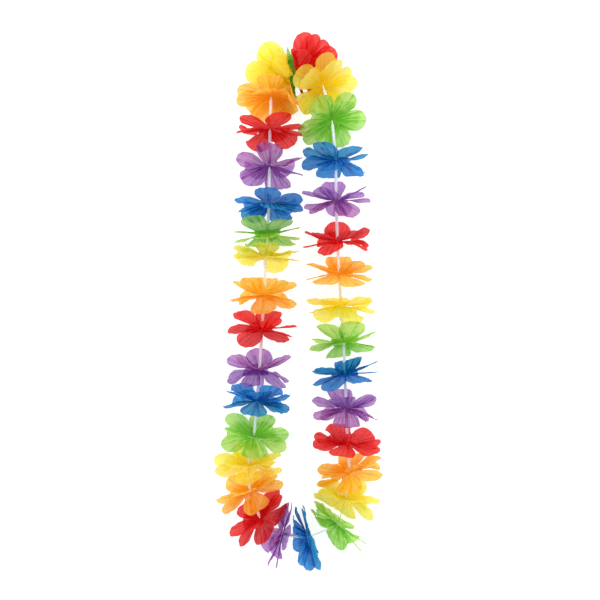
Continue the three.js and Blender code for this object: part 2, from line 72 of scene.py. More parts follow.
# A bloom's middle and its ten petals, five to a layer
BLADE_THICKNESS = 0.75
NEIGHBOUR_GAP = 0.9
NEIGHBOUR_CLEAR = (BLADE_THICKNESS + NEIGHBOUR_GAP) / 2
MIDDLE_RADIUS = 5.2
MIDDLE_HALF_THICKNESS = 0.8
PETALS = 10
PETAL_STEP = 360 / PETALS  # Also half the angle of the middle that one petal grows from
PETAL_ROOT = MIDDLE_RADIUS * sin(radians(PETAL_STEP))
PETAL_LENGTH = 28
TWISTED_TO = 21
PETAL_STATIONS = ((0, PETAL_ROOT), (9, 8.8), (TWISTED_TO, 12.6), (PETAL_LENGTH, 7.4))

# How petals fold, lie flat and stack where they have no room
FOLD_RADIUS = 5.0
FOLD_LOOK_AHEAD = 8.0
STEEP_LEVEL = 0.35
LEAST_SLOPE = 1e-6
LAY_FLAT_WITHIN = 0.35
CALM_WITHIN = 14.0
STACK_STEP = 1.2
STACK_RANKS = (0, 1, 0, 1, 2)
STACKS_ABOVE = 0.2
CROWDED_WITHIN = 56.0
LEVEL_RISE = 20.0

# How near its walls the thin fabric may come, where the thick blade stays further off
PUSH_ROUNDS = 3
OVER_FLOOR = 0.12
LEAST_CLEARANCE = 0.3
THINNER_BY = 0.4

# How openings, bends and twists vary, in degrees where they are angles
SWAY = 3.5
LIFT = 6.0
CURL = 14.0
CURL_MEAN = 4.0
OWN_TWIST = 14.0
CUP = 12.0
FULL_TWIST_OPENING = 24.0
SIDE_OPENING_SHARE = 0.4
SIDE_OPENING_POWER = 1.5
DRAW_STEPS = (12.9898, 78.233)
DRAW_SPREAD = 43758.5453

# Where petals and blooms lie in the fabric's own coordinates, so that no two look the same
CLOTH_UNIT = 40.0
CLOTH_STEPS = (37.0, 11.0)
FAN_STEPS = (9.7, 3)
FAN_LENGTH = 0.98
MIDDLE_FAN = 5
OUTLINE_SAMPLES = 200
MERGE_WITHIN = 1e-6
LEAST_SIDE = 1e-3

Socket = bpy.types.NodeSocket
Inputs = dict[str | int, float | tuple[float, ...] | Socket]
Colour = tuple[int, int, int]
Ring = list[bmesh.types.BMVert]


def linear(red: int, green: int, blue: int) -> tuple[float, float, float, float]:
    """Turn a screen colour, from 0 to 255 in each part, into a solid shader colour."""
    parts = [value / 255 for value in (red, green, blue)]
    return (*[p / 12.92 if p <= 0.04045 else ((p + 0.055) / 1.055) ** 2.4 for p in parts], 1.0)


class Dye(Enum):
    """The six dyes of the fabric, in their order round the loop."""

    GREEN = "green"
    YELLOW = "yellow"
    ORANGE = "orange"
    RED = "red"
    PURPLE = "purple"
    BLUE = "blue"


class Purpose(IntEnum):
    """What a seeded draw is for."""

    LIFT = 1
    SWAY = 2
    CURL = 3
    TWIST = 4
    CUP = 5
    SCALLOP = 11
    PLEAT = 12
    FINE_PLEAT = 13
    WAVE = 14


PLEAT_DRAWS = (Purpose.SCALLOP, Purpose.PLEAT, Purpose.FINE_PLEAT, Purpose.WAVE)


@dataclass(frozen=True)
class Shader:
    """A material, with short ways to add and join its nodes."""

    material: bpy.types.Material  # The material

    @classmethod
    def named(cls, name: str) -> "Shader":
        """Start a material.

        Args:
            name: Its name.

        Returns:
            Its shader, with a plain surface and an output.
        """
        material = bpy.data.materials.new(name)
        material.use_nodes = True
        return cls(material)

    def feed(self, node: bpy.types.Node | str, inputs: Inputs) -> bpy.types.Node:
        """Set a node's inputs.

        Args:
            node: The node or its name.
            inputs: A value, or the output to join, for inputs by name or number.

        Returns:
            The node.
        """
        tree = self.material.node_tree
        node = tree.nodes[node] if isinstance(node, str) else node
        for name, value in inputs.items():
            if isinstance(value, Socket):
                tree.links.new(value, node.inputs[name])
            else:
                node.inputs[name].default_value = value
        return node

    def surface(self, inputs: Inputs) -> bpy.types.Node:
        """Set the inputs of the plain surface."""
        return self.feed("Principled BSDF", inputs)

    def add(self, kind: str, inputs: Inputs | None = None, **settings: str) -> bpy.types.Node:
        """Add a node.

        Args:
            kind: Its type, without the word that all types begin with.
            inputs: Its inputs, as feed takes them.
            settings: Its other settings.

        Returns:
            The node.
        """
        node = self.material.node_tree.nodes.new("ShaderNode" + kind)
        for name, value in settings.items():
            setattr(node, name, value)
        return self.feed(node, inputs or {})

    def speckle(self, scale: float, detail: float) -> Socket:
        """Add a noise in the piece's own coordinates, with a scale and finer octaves."""
        place = self.add("TexCoord").outputs["Object"]
        return self.add("TexNoise", {"Vector": place, "Scale": scale, "Detail": detail}).outputs["Fac"]

    def bump(self, height: Socket, strength: float, depth: float) -> Socket:
        """Add a relief from a height, with a strength and a depth in metres."""
        relief = self.add("Bump", {"Strength": strength, "Distance": depth, "Height": height})
        return relief.outputs["Normal"]

    def ramp(self, tone: Socket, colours: tuple[Colour, ...], places: tuple[float, ...] = (0.0, 1.0)) -> Socket:
        """Add a ramp of two colours.

        Args:
            tone: What picks the colour.
            colours: The two screen colours.
            places: The tones at which they stand.

        Returns:
            The colour.
        """
        node = self.add("ValToRGB", {"Fac": tone})
        for element, colour, place in zip(node.color_ramp.elements, colours, places):
            element.position = place
            element.color = linear(*colour)
        return node.outputs["Color"]


@dataclass(frozen=True)
class Grain:
    """A noise in the fabric that is stretched along the petals."""

    layer: str  # UV map that it follows
    scale: float  # Grains in one unit across
    stretch: float  # Scale along the petal, as a share of the scale across
    detail: float  # Finer octaves
    weight: float  # How much it adds to a tone

    def over(self, shader: Shader, tone: Socket) -> Socket:
        """Add the noise to a tone.

        Args:
            shader: The shader that it is in.
            tone: The tone without it.

        Returns:
            The tone with it.
        """
        place = shader.add("UVMap", uv_map=self.layer).outputs["UV"]
        mapping = shader.add("Mapping", {"Vector": place, "Scale": (1.0, self.stretch, 1.0)})
        shape = {"Vector": mapping.outputs["Vector"], "Scale": self.scale, "Detail": self.detail}
        noise = shader.add("TexNoise", shape).outputs["Fac"]
        added = shader.add("Math", {0: noise, 1: self.weight, 2: tone}, operation="MULTIPLY_ADD")
        return added.outputs["Value"]


# Darker streaks along the fan of pleats: partly the fabric lying doubled, partly painted crease shade
CREASES = Grain("pleats", 1.0, 0.5, 1.5, 0.48)
FIBRES = Grain("fibres", 60.0, 0.05, 4.0, 0.3)
BLOTCHES = Grain("fibres", 5.0, 1.0, 2.0, 0.22)
WEAVE = Grain("fibres", 300.0, 1.0, 1.0, 0.25)


@dataclass(frozen=True)
class FabricFinish:
    """Thin, see-through, pleated fabric in one dye."""

    dye: Dye  # Which dye it is
    pale: Colour  # Colour between the creases, where the fabric lies thin
    deep: Colour  # Colour in the creases and at the middle: partly the fabric lying thick, partly painted shade
    cover: float  # How much of what is behind it one layer hides
    glow: float = 0.7  # Share of its light that comes through from behind
    painted_shade_depth: float = 0.1  # How much deeper its tone is at the middle: painted shade where the petals overlap
    painted_shade_reach: float = 0.75  # Share of the petal's length over which that fades
    tones: tuple[float, float] = (0.4, 0.51)  # Tones at which the deep and the pale colour stand
    roughness: float = 0.7  # How matt it is
    shine: float = 0.05  # How strongly it mirrors
    relief: tuple[float, float] = (0.6, 0.0008)  # Strength and depth in metres of its creases and weave

    def paint_middle_shade(self, shader: Shader) -> Socket:
        """Add a tone that deepens towards the middle: painted shade where the petals overlap round the cord.

        Args:
            shader: The material's shader.

        Returns:
            The tone.
        """
        place = shader.add("UVMap", uv_map="pleats").outputs["UV"]
        lengthwise = shader.add("SeparateXYZ", {"Vector": place}).outputs["Y"]
        within = shader.add("Math", {0: lengthwise}, operation="FRACT").outputs["Value"]
        span = {"Value": within, "From Max": self.painted_shade_reach, "To Min": -self.painted_shade_depth, "To Max": 0.0}
        return shader.add("MapRange", span, interpolation_type="SMOOTHSTEP").outputs["Result"]

    def material(self) -> bpy.types.Material:
        """Make the fabric's material.

        Returns:
            A material with creases that are partly painted shade, painted shade towards the middle, fibres, a
            fine weave and light that comes through it.
        """
        shader = Shader.named(f"{self.dye.value}_fabric")
        # The tone starts from the painted shade towards the middle
        tone = self.paint_middle_shade(shader)
        for grain in (CREASES, FIBRES, BLOTCHES):
            tone = grain.over(shader, tone)
        colour = shader.ramp(tone, (self.deep, self.pale), self.tones)
        relief = shader.bump(WEAVE.over(shader, tone), *self.relief)
        look = {"Roughness": self.roughness, "Specular IOR Level": self.shine, "Alpha": self.cover}
        cloth = shader.surface({"Base Color": colour, "Normal": relief, **look}).outputs["BSDF"]
        through = shader.add("BsdfTranslucent", {"Color": colour}).outputs["BSDF"]
        clear = shader.add("BsdfTransparent", {"Color": linear(*self.pale)}).outputs["BSDF"]
        covered = shader.add("MixShader", {0: self.cover, 1: clear, 2: through}).outputs["Shader"]
        mixed = shader.add("MixShader", {0: self.glow, 1: cloth, 2: covered}).outputs["Shader"]
        shader.feed("Material Output", {"Surface": mixed})
        return shader.material


FABRICS = (
    FabricFinish(Dye.GREEN, (186, 228, 126), (112, 202, 40), 0.8),
    FabricFinish(Dye.YELLOW, (244, 238, 116), (254, 228, 0), 0.8),
    FabricFinish(Dye.ORANGE, (252, 210, 100), (252, 176, 14), 0.86),
    FabricFinish(Dye.RED, (234, 72, 72), (216, 0, 16), 0.9),
    FabricFinish(Dye.PURPLE, (188, 136, 204), (124, 50, 152), 0.72),
    FabricFinish(Dye.BLUE, (62, 156, 222), (0, 88, 174), 0.87),
)


@dataclass(frozen=True)
class TubeFinish:
    """Clear smooth drinking-straw plastic."""

    colour: Colour = (246, 246, 250)  # Colour of the wall
    cover: float = 0.5  # How much one wall hides
    roughness: float = 0.16  # How matt it is
    bending: float = 1.49  # How strongly it bends light
    gloss: tuple[float, float] = (0.6, 0.06)  # Strength of its smooth skin, and how matt that is
    # Scale, detail, strength and depth in metres of its faint flow lines
    lines: tuple[float, float, float, float] = (900.0, 2.0, 0.08, 0.0001)

    def material(self) -> bpy.types.Material:
        """Make the tube's material.

        Returns:
            A glossy see-through plastic with faint flow lines.
        """
        shader = Shader.named("clear_tube")
        shader.surface({"Base Color": linear(*self.colour), "Roughness": self.roughness, "IOR": self.bending})
        shader.surface({"Alpha": self.cover, "Coat Weight": self.gloss[0], "Coat Roughness": self.gloss[1]})
        shader.surface({"Normal": shader.bump(shader.speckle(*self.lines[:2]), *self.lines[2:])})
        return shader.material


@dataclass(frozen=True)
class CordFinish:
    """Twisted white thread."""

    pale: Colour = (250, 249, 246)  # Colour of the strands
    shade: Colour = (226, 222, 216)  # Colour of the grooves and stray fibres
    roughness: float = 0.85  # How matt it is
    sheen: float = 0.3  # How much its fibres catch the light
    # Scale, detail, strength and depth in metres of its stray fibres
    fuzz: tuple[float, float, float, float] = (2600.0, 4.0, 0.5, 0.0001)

    def material(self) -> bpy.types.Material:
        """Make the cord's material.

        Returns:
            A matt fibrous white.
        """
        shader = Shader.named("white_cord")
        fuzz = shader.speckle(*self.fuzz[:2])
        colour = shader.ramp(fuzz, (self.shade, self.pale))
        shader.surface({"Roughness": self.roughness, "Sheen Weight": self.sheen})
        shader.surface({"Base Color": colour, "Normal": shader.bump(fuzz, *self.fuzz[2:])})
        return shader.material


@dataclass(frozen=True)
class Place:
    """Where one bloom sits on the cord and how it is turned and opened, in degrees."""

    dye: Dye  # Its dye
    x: float  # Middle's place across the loop, in millimetres
    y: float  # Middle's place along the loop, in millimetres
    tilt: float  # How far the near side leans towards the top of the loop
    lean: float  # How far the bloom's line turns in the picture
    up: float  # Opening of the layer that faces the top of the loop
    down: float  # Opening of the other layer
    turn: float  # Turn of the lower layer's petals about the bloom's own axis
    offset: float = 12.0  # Turn of the upper layer from the lower one
    left: float = 0.0  # How much further the petals on the left are tilted
    right: float = 0.0  # How much further the petals on the right are tilted
    border: float = 0.5  # Share of the way to the next bloom at which its room ends
    seed: int = 0  # Picks the bloom's own set of draws
    z: float = CORD_HEIGHT  # Height of the middle over the surface, in millimetres
    level: int = 0  # Which of two crowded blooms passes over the other


GREEN, YELLOW, ORANGE, RED, PURPLE, BLUE = Dye

# Each bloom's dye, x, y, tilt, lean, up, down and turn, and what else it has of its own
BLOOMS = (
    Place(GREEN, -8, 222, 6, -78, 12, 8, 24, offset=0, border=0.42, seed=2, z=13),
    Place(YELLOW, -18.5, 228, 58, -30, 14, 16, 66, offset=6, seed=1, z=28),
    Place(ORANGE, -27.5, 205, 30, -2, 8, 22, 36, offset=-18, left=6, seed=1, level=2),
    Place(RED, -28.5, 173, 14, 0, 16, 22, 22, offset=-24, left=-10),
    Place(PURPLE, -29, 135, 20, 0, 27, 32, 6, left=10, right=-20),
    Place(BLUE, -29.5, 98, 14, 0, 13, 25, 9, left=4, right=12),
    Place(GREEN, -31, 68, 10, 3, 26, 30, 27, offset=27, left=-10, right=-10, seed=3),
    Place(YELLOW, -32.5, 45, 5, -5, 26, 4, 6, left=18, right=-3, seed=10),
    Place(ORANGE, -34.5, 7, -6, 0, 40, 32, 19, offset=35, right=-12, seed=5),
    Place(RED, -36.5, -27, -10, -6, 34, 24, 46, offset=24, left=-16, right=10, seed=3),
    Place(PURPLE, -39, -68, -8, 0, 32, 36, 42, offset=12, left=-16, right=-4, seed=35),
    Place(BLUE, -41.5, -99, -6, -4, 24, 24, 25, offset=-11, left=6, right=-8),
    Place(GREEN, -44.5, -133, -28, -10, 20, 28, 8, offset=-11),
    Place(YELLOW, -50, -162, -18, 0, 16, 26, 18, offset=30, left=-14, right=10),
    Place(ORANGE, -48.5, -189, -14, 26, 22, 24, 20, left=-8, right=-8),
    Place(RED, -38.5, -216, -22, 42, 24, 26, 36),
    Place(PURPLE, -16.5, -232, -3, 75, 20, 8, 18, offset=8, border=0.38, seed=8),
    Place(BLUE, 9, -235.5, 0, 104, 36, 12, 42, offset=12, left=-22, seed=7),
    Place(GREEN, 39.5, -223, 8, -41, 10, 30, 6, left=14, right=-8),
    Place(YELLOW, 47, -196, -20, -18, 22, 30, 10, offset=-18, left=-12, right=8),
    Place(ORANGE, 51.5, -170, -14, 18, 27, 22, 34, offset=35, left=6, right=2, seed=1),
    Place(RED, 49, -142, -6, -5, 22, 18, 28, offset=-4, left=-20, right=-20),
    Place(PURPLE, 47.5, -106, -8, -3, 34, 38, 13, offset=21, left=-8, right=6),
    Place(BLUE, 46.5, -72, -8, 10, 27, 20, 54, left=-8, right=4, seed=10),
    Place(GREEN, 45, -40, 12, 4, 34, 25, 38, offset=24, left=6),
    Place(YELLOW, 42.5, -4, 4, -3, 16, 25, 10, offset=24, left=10, right=4, seed=6),
    Place(ORANGE, 40.5, 28, -8, -2, 32, 20, 54, offset=0, left=4, right=-10),
    Place(RED, 39, 61, -5, 3, 26, 20, 36, offset=18, left=5, right=28),
    Place(PURPLE, 37.5, 102, -9, 4, 28, 28, 62, offset=-16, left=24, right=14),
    Place(BLUE, 37.5, 142, 5, -3, 26, 38, 34, offset=14, left=22, right=8, seed=2),
    Place(GREEN, 33.5, 181, 40, 26, 15, 16, 47, offset=-19, seed=2, level=3),
    Place(YELLOW, 24.5, 216, 46, 38, 18, 16, 39, offset=6, left=-40, right=-22, z=28, level=3),
    Place(RED, 8, 236, 45, 60, 12, 12, 30, offset=10, border=0.6, seed=1, z=27),
)


@dataclass
class Wall:
    """A half-space that petals stay in."""

    point: Vector  # A point on its plane
    normal: Vector  # Unit vector into the half-space
    clear: float  # Distance that petals keep from the plane

    def depth(self, point: Vector) -> float:
        """Give a point's depth inside the half-space, past the clearance."""
        return (point - self.point).dot(self.normal) - self.clear


def put(name: str, data: bpy.types.ID) -> bpy.types.Object:
    """Put a mesh, a light or a camera in the scene.

    Args:
        name: Name of the object.
        data: What the object shows.

    Returns:
        The object.
    """
    made = bpy.data.objects.new(name, data)
    bpy.context.scene.collection.objects.link(made)
    return made


def turned(vector: Vector, axis: Vector, angle: float) -> Vector:
    """Turn a vector about a unit axis by a right-handed angle in radians."""
    return Quaternion(axis, angle) @ vector


def draw(bloom: int, petal: int, purpose: Purpose) -> float:
    """Draw a repeatable number for one petal and one purpose.

    Args:
        bloom: Number of the bloom.
        petal: Number of the petal.
        purpose: What the draw is for.

    Returns:
        A number between -1 and 1.
    """
    place = (bloom + len(BLOOMS) * BLOOMS[bloom].seed) * PETALS + petal + 1
    value = sin(place * DRAW_STEPS[0] + purpose * DRAW_STEPS[1]) * DRAW_SPREAD
    return 2 * (value % 1) - 1


def petal_turn(bloom: int, petal: int) -> float:
    """Give the direction of a petal from its bloom's line across the loop, in degrees."""
    place = BLOOMS[bloom]
    return place.turn + (petal // 2) * 2 * PETAL_STEP + (petal % 2) * place.offset


def layer_side(petal: int) -> int:
    """Give 1 for a petal of the layer that faces along the bloom's axis, -1 for the other's."""
    return 1 if petal % 2 == 0 else -1


class Loop:
    """The threaded loop: where each bloom's middle is and what room its petals have."""

    def place(self, index: int) -> Place:
        """Give a bloom's place, with numbers that count on round the loop."""
        return BLOOMS[index % len(BLOOMS)]

    def hub(self, index: int) -> Vector:
        """Give the middle of a bloom."""
        place = self.place(index)
        return Vector((place.x, place.y, place.z))

    def direction(self, index: int) -> Vector:
        """Give the unit vector along the cord from one bloom to the next."""
        return (self.hub(index + 1) - self.hub(index)).normalized()

    def axes(self, index: int) -> tuple[Vector, Vector, Vector]:
        """Give a bloom's own axes.

        Args:
            index: Number of the bloom.

        Returns:
            Unit vectors across the loop, towards the near side, and along the bloom's axis.
        """
        place = self.place(index)
        lean, tilt = radians(place.lean), radians(place.tilt)
        along = Vector((-sin(lean), cos(lean), 0.0))
        across = Vector((cos(lean), sin(lean), 0.0))
        near = UP * cos(tilt) + along * sin(tilt)
        return across, near, across.cross(near)

    def forward_axis(self, index: int) -> Vector:
        """Give a bloom's axis, turned to point on round the cord."""
        axis = self.axes(index)[2]
        return -axis if axis.dot(self.direction(index) + self.direction(index - 1)) < 0 else axis

    def slant(self, index: int, ends: tuple[int, ...]) -> float:
        """Give the steepest angle between a bloom's axis and runs of the cord."""
        lined = [abs(self.axes(index)[2].dot(self.direction(end))) for end in ends]
        return acos(min(1.0, *lined))

    def plane_after(self, index: int) -> Wall:
        """Give the plane between a bloom and the next, half-way unless its border says otherwise.

        Args:
            index: Number of the bloom.

        Returns:
            The plane, seen from the next bloom.
        """
        normal = (self.forward_axis(index) + self.forward_axis(index + 1)).normalized()
        point = self.hub(index).lerp(self.hub(index + 1), self.place(index).border)
        return Wall(point, normal, NEIGHBOUR_CLEAR)

    def plane_across(self, index: int, other: int) -> Wall:
        """Give the plane between two crowded blooms that aren't next to each other.

        Args:
            index: Number of the bloom whose side the normal points to.
            other: Number of the other bloom.

        Returns:
            The plane, leaning so that the bloom with the higher level passes over the other.
        """
        apart = self.hub(index) - self.hub(other)
        apart.z = 0.0
        rise = radians(LEVEL_RISE * (BLOOMS[index].level - BLOOMS[other].level))
        normal = apart.normalized() * cos(rise) + UP * sin(rise)
        return Wall((self.hub(index) + self.hub(other)) / 2, normal, NEIGHBOUR_CLEAR)

    def room(self, index: int) -> list[Wall]:
        """Give the half-spaces that a bloom's petals stay in.

        Args:
            index: Number of the bloom.

        Returns:
            The surface first, then the neighbours' planes and the crowded blooms' planes.
        """
        before, after = self.plane_after(index - 1), self.plane_after(index)
        floor = Wall(Vector((0.0, 0.0, 0.0)), UP.copy(), BLADE_THICKNESS / 2)
        walls = [floor, before, Wall(after.point, -after.normal, after.clear)]
        for other in range(len(BLOOMS)):
            steps = abs(index - other)
            beside = min(steps, len(BLOOMS) - steps) < 2
            if not beside and (self.hub(index) - self.hub(other)).length <= CROWDED_WITHIN:
                walls.append(self.plane_across(index, other))
        return walls


@dataclass
class PetalLine:
    """The middle line of one petal, grown outwards in steps of a millimetre."""

    loop: Loop  # The loop that the bloom is threaded on
    bloom: int  # Number of the bloom
    petal: int  # Number of the petal
    extra: int = 2  # Steps grown past the petal's length, for its rounded tip
    room: list[Wall] = field(default_factory=list, init=False)  # The half-spaces that it stays in
    folded: set[int] = field(default_factory=set, init=False)  # Numbers of the walls at which it has folded
    point: Vector = field(default_factory=Vector, init=False)  # Where it has grown to
    outward: Vector = field(default_factory=Vector, init=False)  # Unit vector along it there
    sideways: Vector = field(default_factory=Vector, init=False)  # Unit vector across it there

    def stacked_room(self, axis: Vector) -> list[Wall]:
        """Give this petal's own room, in which pressed petals stack on each other.

        Args:
            axis: The bloom's axis.

        Returns:
            The bloom's walls with this petal's clearances.
        """
        walls = []
        for number, wall in enumerate(self.loop.room(self.bloom)):
            behind = STACK_STEP if layer_side(self.petal) * axis.dot(wall.normal) > STACKS_ABOVE else 0.0
            rank = 0.0 if number == 0 else STACK_RANKS[self.petal // 2] * STACK_STEP
            walls.append(Wall(wall.point, wall.normal, wall.clear + behind + rank))
        return walls

    def folds_back(self, number: int, hinge: Vector) -> bool:
        """Choose which way round a steep petal folds: the way that stays deepest in its room.

        Args:
            number: Number of the wall it folds at.
            hinge: Axis it folds about.

        Returns:
            Whether it folds the way that turns left-handed about the hinge.
        """
        depths = []
        for sense in (1, -1):
            ahead = self.point + turned(self.outward, hinge, sense * pi / 2) * FOLD_LOOK_AHEAD
            depths.append(min(wall.depth(ahead) for other, wall in enumerate(self.room) if other != number))
        return depths[1] > depths[0]

    def fold(self, number: int, half_width: float) -> None:
        """Turn the petal's frame towards level with a wall, as far as its depth there asks.

        Args:
            number: Number of the wall.
            half_width: Half-width of the petal there.
        """
        wall = self.room[number]
        depth = max(0.0, wall.depth(self.point))
        face = self.outward.cross(self.sideways)
        level = max(-1.0, min(1.0, face.dot(wall.normal)))
        slope = sqrt(1 - level * level)
        if slope < LEAST_SLOPE:
            return
        steepest = sin(acos(1 - min(1.0, depth / FOLD_RADIUS)))
        descent = -self.outward.dot(wall.normal)
        sideways_drop = abs(self.sideways.dot(wall.normal)) * half_width
        share = 1.0
        if descent > steepest:
            share = min(share, steepest / descent)
        if sideways_drop > depth:
            share = min(share, depth / sideways_drop)
        if share == 1.0:
            return
        steepness, gentle = asin(slope), asin(slope * share)
        hinge = (face.cross(wall.normal) * (-1 if level < 0 else 1)).normalized()
        first = abs(level) < STEEP_LEVEL and number not in self.folded
        back = first and self.folds_back(number, hinge)
        self.folded.add(number)
        angle = -(pi - steepness - gentle) if back else steepness - gentle
        self.outward, self.sideways = turned(self.outward, hinge, angle), turned(self.sideways, hinge, angle)

    def grow(self) -> np.ndarray:
        """Follow the petal outwards from the middle's edge to past its tip.

        Returns:
            A row for each step: where it is, the unit vectors along and across the petal, and
            the angle in radians by which its sides are cupped.
        """
        place, side = BLOOMS[self.bloom], layer_side(self.petal)
        across, near, axis = self.loop.axes(self.bloom)
        self.room = self.stacked_room(axis)
        opening = place.down if side > 0 else place.up
        angle = radians(petal_turn(self.bloom, self.petal))
        facing = abs(sin(angle)) ** SIDE_OPENING_POWER
        opened = opening * (SIDE_OPENING_SHARE + (1 - SIDE_OPENING_SHARE) * facing)
        freedom = min(1.0, opened / FULL_TWIST_OPENING)
        radial = across * cos(angle) + near * sin(angle)
        drawn = {purpose: draw(self.bloom, self.petal, purpose) for purpose in Purpose}

        lift = side * radians(opened + LIFT * freedom * drawn[Purpose.LIFT])
        curl = side * radians(freedom * (CURL_MEAN + CURL * drawn[Purpose.CURL])) / PETAL_LENGTH
        sided = cos(angle)
        roll = (-place.right if sided > 0 else place.left) * sided**2
        twist = radians(roll + freedom * OWN_TWIST * drawn[Purpose.TWIST]) / TWISTED_TO
        cup = radians(freedom * CUP * drawn[Purpose.CUP])
        layer = axis * (side * MIDDLE_HALF_THICKNESS / 2)
        self.point = self.loop.hub(self.bloom) + radial * MIDDLE_RADIUS + layer
        radial = turned(radial, axis, radians(SWAY * drawn[Purpose.SWAY]))
        self.sideways = axis.cross(radial)
        self.outward = radial * cos(lift) + axis * sin(lift)

        steps = [(*self.point, *self.outward, *self.sideways, 0.0)]
        for along in range(1, PETAL_LENGTH + self.extra + 1):
            floor_depth = self.room[0].depth(self.point)
            calm = max(0.0, min(1.0, floor_depth / CALM_WITHIN))
            self.outward = turned(self.outward, self.sideways, -curl * calm)
            if along <= TWISTED_TO:
                self.sideways = turned(self.sideways, self.outward, twist * calm)
            half_width = float(np.interp(along, *zip(*PETAL_STATIONS)))
            for number in range(len(self.room)):
                self.fold(number, half_width)
            self.point = self.point + self.outward
            raised = 0.0 if floor_depth < LAY_FLAT_WITHIN else cup * calm
            steps.append((*self.point, *self.outward, *self.sideways, raised))
        return np.array(steps)


@dataclass(frozen=True)
class Patch:
    """A rectangular grid of cloth."""

    points: np.ndarray  # Its points in millimetres, as rows by columns by 3
    fibres: np.ndarray  # Each point's place in the flat cloth, for fibres and weave
    pleats: np.ndarray  # Each point's place in the fan of creases


@dataclass(frozen=True)
class Cut:
    """The shape that a petal is die-cut to."""

    widest_at: float = 18.6  # Distance from the middle's edge at which it is widest
    widest: float = 13.6  # Half-width there
    widening: float = 0.9  # Power of the curve along which it widens
    tip_at: float = 30.0  # Distance from the middle's edge to the tip
    straight_rows: int = 12  # Rows of points up to where it is widest
    # Rows from there to the tip, in degrees of its rounding
    round_rows: tuple[int, ...] = (12, 24, 36, 47, 57, 66, 74, 80, 85)

    def rows(self) -> np.ndarray:
        """Give the distances of a petal's rows from the middle's edge."""
        rounding = self.widest_at + (self.tip_at - self.widest_at) * np.sin(np.radians(self.round_rows))
        return np.concatenate([np.linspace(0.0, self.widest_at, self.straight_rows), rounding])

    def half_width(self, along: np.ndarray) -> np.ndarray:
        """Give a petal's half-width.

        Args:
            along: Distances from the middle's edge.

        Returns:
            The half-width at each, widening to the widest place and then round to the tip.
        """
        part = np.clip(along / self.widest_at, 0, 1)
        widening = PETAL_ROOT + (self.widest - PETAL_ROOT) * np.sin(part * pi / 2) ** self.widening
        past = np.clip((along - self.widest_at) / (self.tip_at - self.widest_at), 0, 1)
        return widening * np.sqrt(1 - past**2)

    def area(self) -> float:
        """Give the flat area of a bloom's two layers, in square metres."""
        mean = float(np.mean(self.half_width(np.linspace(0.0, self.tip_at, OUTLINE_SAMPLES))))
        return 2 * (PETALS // 2 * (2 * mean * self.tip_at) + pi * MIDDLE_RADIUS**2) * METRES**2


@dataclass(frozen=True)
class Pleating:
    """How a petal's fabric is pleated and waved."""

    pleats: float = 6.5  # Pleats across the rim
    depth: float = 0.24  # Half the height of a pleat
    growing: float = 2.2  # How fast pleats rise along the petal
    fine: tuple[float, float] = (2.26, 0.45)  # Finer pleats for each pleat, and their share of its height
    scallop: float = 0.16  # How far the rim runs out and in between pleats
    fine_scallop: tuple[float, float] = (3.4, 0.5)  # Finer scallops for each pleat, and their share
    wave: float = 0.55  # Half the height of the slow wave along the rim
    wave_rate: float = 2.6  # Half-waves in one unit of the fan
    # Share of the petal from which it counts as rim, and share over which that grows
    rim: tuple[float, float] = (0.55, 0.6)
    root: float = 0.6  # Half-width of the fan of pleats at the middle, as a share of the middle's radius
    margin: float = 1.5  # How much further than the petal the fan spreads
    power: float = 0.8  # Power of the curve along which it spreads

    def fan(self, cut: Cut) -> np.ndarray:
        """Give the half-width of the fan of pleats at each row of a petal."""
        spreading = (cut.widest + self.margin) * (cut.rows() / cut.widest_at) ** self.power
        return (MIDDLE_RADIUS * self.root + spreading)[:, None]

    def ripple(self, spread: np.ndarray, rate: float, phase: float) -> np.ndarray:
        """Give a ripple across the fan that has a rate for each pleat, and a phase."""
        return np.sin(rate * pi * self.pleats * spread + phase)

    def heights(self, spread: np.ndarray, reach: np.ndarray, growth: np.ndarray, phase: list[float]) -> tuple:
        """Give the heights of the pleats and of the rim's wave.

        Args:
            spread: Each point's place across the fan.
            reach: Its place between the petal's root and the rim.
            growth: Each row's place along the petal, up to 1.
            phase: Where each of the petal's own waves starts.

        Returns:
            Both heights, at each point.
        """
        pleat = self.ripple(spread, 1, phase[1]) + self.fine[1] * self.ripple(spread, self.fine[0], phase[2])
        rim = np.clip((reach - self.rim[0]) / self.rim[1], 0, 1)
        wave = self.wave * np.sin(self.wave_rate * spread * pi + phase[3]) * rim**2
        return pleat * (self.depth * np.clip(growth * self.growing, 0, 1)), wave

    def edge(self, spread: np.ndarray, phase: list[float]) -> np.ndarray:
        """Give how far the rim runs out between pleats."""
        fine = self.fine_scallop[1] * self.scallop * self.ripple(spread, self.fine_scallop[0], phase[1])
        return self.scallop * self.ripple(spread, 1, phase[0]) + fine


@dataclass
class Threaded:
    """Something that is threaded on the loop's cord, or the cord."""

    loop: Loop  # The loop
    shift: Vector  # What moves the loop's own coordinates into the frame, in millimetres

    def corner(self, work: bmesh.types.BMesh, place: Vector) -> bmesh.types.BMVert:
        """Add a point of the loop to a mesh."""
        return work.verts.new((place + self.shift) * METRES)

    @staticmethod
    def skin(work: bmesh.types.BMesh, rings: list[Ring], closed: bool) -> None:
        """Join rings of points with smooth faces.

        Args:
            work: The mesh.
            rings: The rings, each with as many points.
            closed: Whether the last ring is joined to the first.
        """
        for number in range(len(rings) if closed else len(rings) - 1):
            ring, following = rings[number], rings[(number + 1) % len(rings)]
            for side in range(len(ring)):
                after = (side + 1) % len(ring)
                polygon = work.faces.new((ring[side], ring[after], following[after], following[side]))
                polygon.smooth = True

    @staticmethod
    def piece(name: str, work: bmesh.types.BMesh, mesh: bpy.types.Mesh | None = None) -> bpy.types.Object:
        """Put a mesh in the scene.

        Args:
            name: The piece's name.
            work: Its points and faces, which are used up.
            mesh: The mesh that takes them, if it is there already.

        Returns:
            The piece.
        """
        mesh = mesh or bpy.data.meshes.new(name)
        work.to_mesh(mesh)
        work.free()
        return put(name, mesh)


